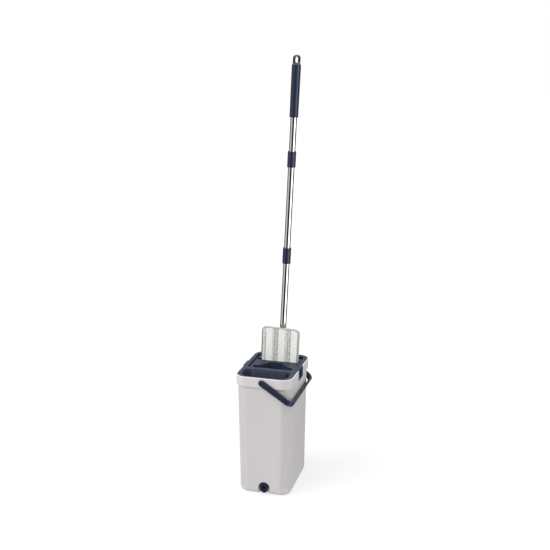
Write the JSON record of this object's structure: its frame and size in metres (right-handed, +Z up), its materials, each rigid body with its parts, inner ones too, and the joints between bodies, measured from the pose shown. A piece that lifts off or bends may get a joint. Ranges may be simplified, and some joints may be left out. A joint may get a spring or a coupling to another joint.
{
  "type": "flat mop with wash-and-squeeze bucket",
  "caption": "Tall tapered bucket with a slotted wringer insert, swinging bail and drain cap, holding a flat microfibre mop upright by its head on a jointed steel pole.",
  "frame": {"origin": "centre of the bucket's base, on the floor", "axes": "+Z up, -Y to the drain side (front), +X to the side the bail hangs on"},
  "size_m": [0.184, 0.2458, 1.2731],
  "materials": {
    "bucket_plastic": "warm light grey, fine satin moulded surface",
    "navy_plastic": "dark navy, satin moulded surface",
    "pole_steel": "polished thin stainless tube",
    "screw_steel": "plain zinc-plated",
    "microfibre": "looped microfibre pile, off-white with grey stripes",
    "hook_tape": "black hook tape",
    "lip_rubber": "soft dark moulded lip",
    "seal_rubber": "black seal"
  },
  "bodies": {
    "bucket": {"bucket_body": "bucket_plastic"},
    "bail": {"bail_handle": "navy_plastic"},
    "insert": {"wringer_deck": "navy_plastic", "wash_chute": "navy_plastic", "squeeze_chute_front": "navy_plastic", "squeeze_chute_back": "navy_plastic", "wash_wiper": "lip_rubber", "rub_strips": "lip_rubber", "scraper_blade": "lip_rubber", "chute_screws": "screw_steel"},
    "seal": {"drain_gasket": "seal_rubber"},
    "cap": {"drain_cap": "navy_plastic"},
    "head": {"mop_plate": "navy_plastic", "hook_strips": "hook_tape", "mop_pad": "microfibre", "head_bracket": "navy_plastic", "bracket_screws": "screw_steel", "flip_pin": "screw_steel"},
    "knuckle": {"head_knuckle": "navy_plastic"},
    "pole": {"swivel_pin": "screw_steel", "pole_socket": "navy_plastic", "socket_screw": "screw_steel", "lower_tube": "pole_steel", "lower_coupling_sleeve": "navy_plastic", "lower_coupling_stud": "navy_plastic", "middle_tube": "pole_steel", "upper_coupling_sleeve": "navy_plastic", "upper_coupling_stud": "navy_plastic", "upper_tube": "pole_steel", "grip_sleeve": "navy_plastic", "hang_cap": "navy_plastic"}
  },
  "joints": [
    {"name": "bail_swing", "type": "hinge", "parent": "bucket", "child": "bail", "pos_m": [0, 0, 0.355], "axis": [0, -1, 0], "range_deg": [0, 70]},
    {"name": "insert_lift", "type": "slide", "parent": "bucket", "child": "insert", "axis": [0, 0, 1], "range_m": [0, 0.26]},
    {"name": "mop_slide", "type": "slide", "parent": "insert", "child": "head", "axis": [0.0175, 0, 0.9998], "range_m": [-0.12, 0.24]},
    {"name": "head_flip", "type": "hinge", "parent": "head", "child": "knuckle", "pos_m": [0.0013, 0.0785, 0.306], "axis": [-0.9992, 0, 0.0401], "range_deg": [0, 2]},
    {"name": "pole_swivel", "type": "hinge", "parent": "knuckle", "child": "pole", "pos_m": [0.00218, 0.0785, 0.32798], "axis": [0, -1, 0], "range_deg": [0, 5]},
    {"name": "seal_travel", "type": "slide", "parent": "bucket", "child": "seal", "axis": [0, -1, 0], "range_m": [0, 0.0061]},
    {"name": "cap_turn", "type": "hinge", "parent": "seal", "child": "cap", "pos_m": [0.0024, -0.1, 0.021], "axis": [0, -1, 0], "range_deg": [0, 720]}
  ],
  "couplings": [
    {"joint": "seal_travel", "follows": "cap_turn", "m_per_rad": 0.00047746}
  ]
}
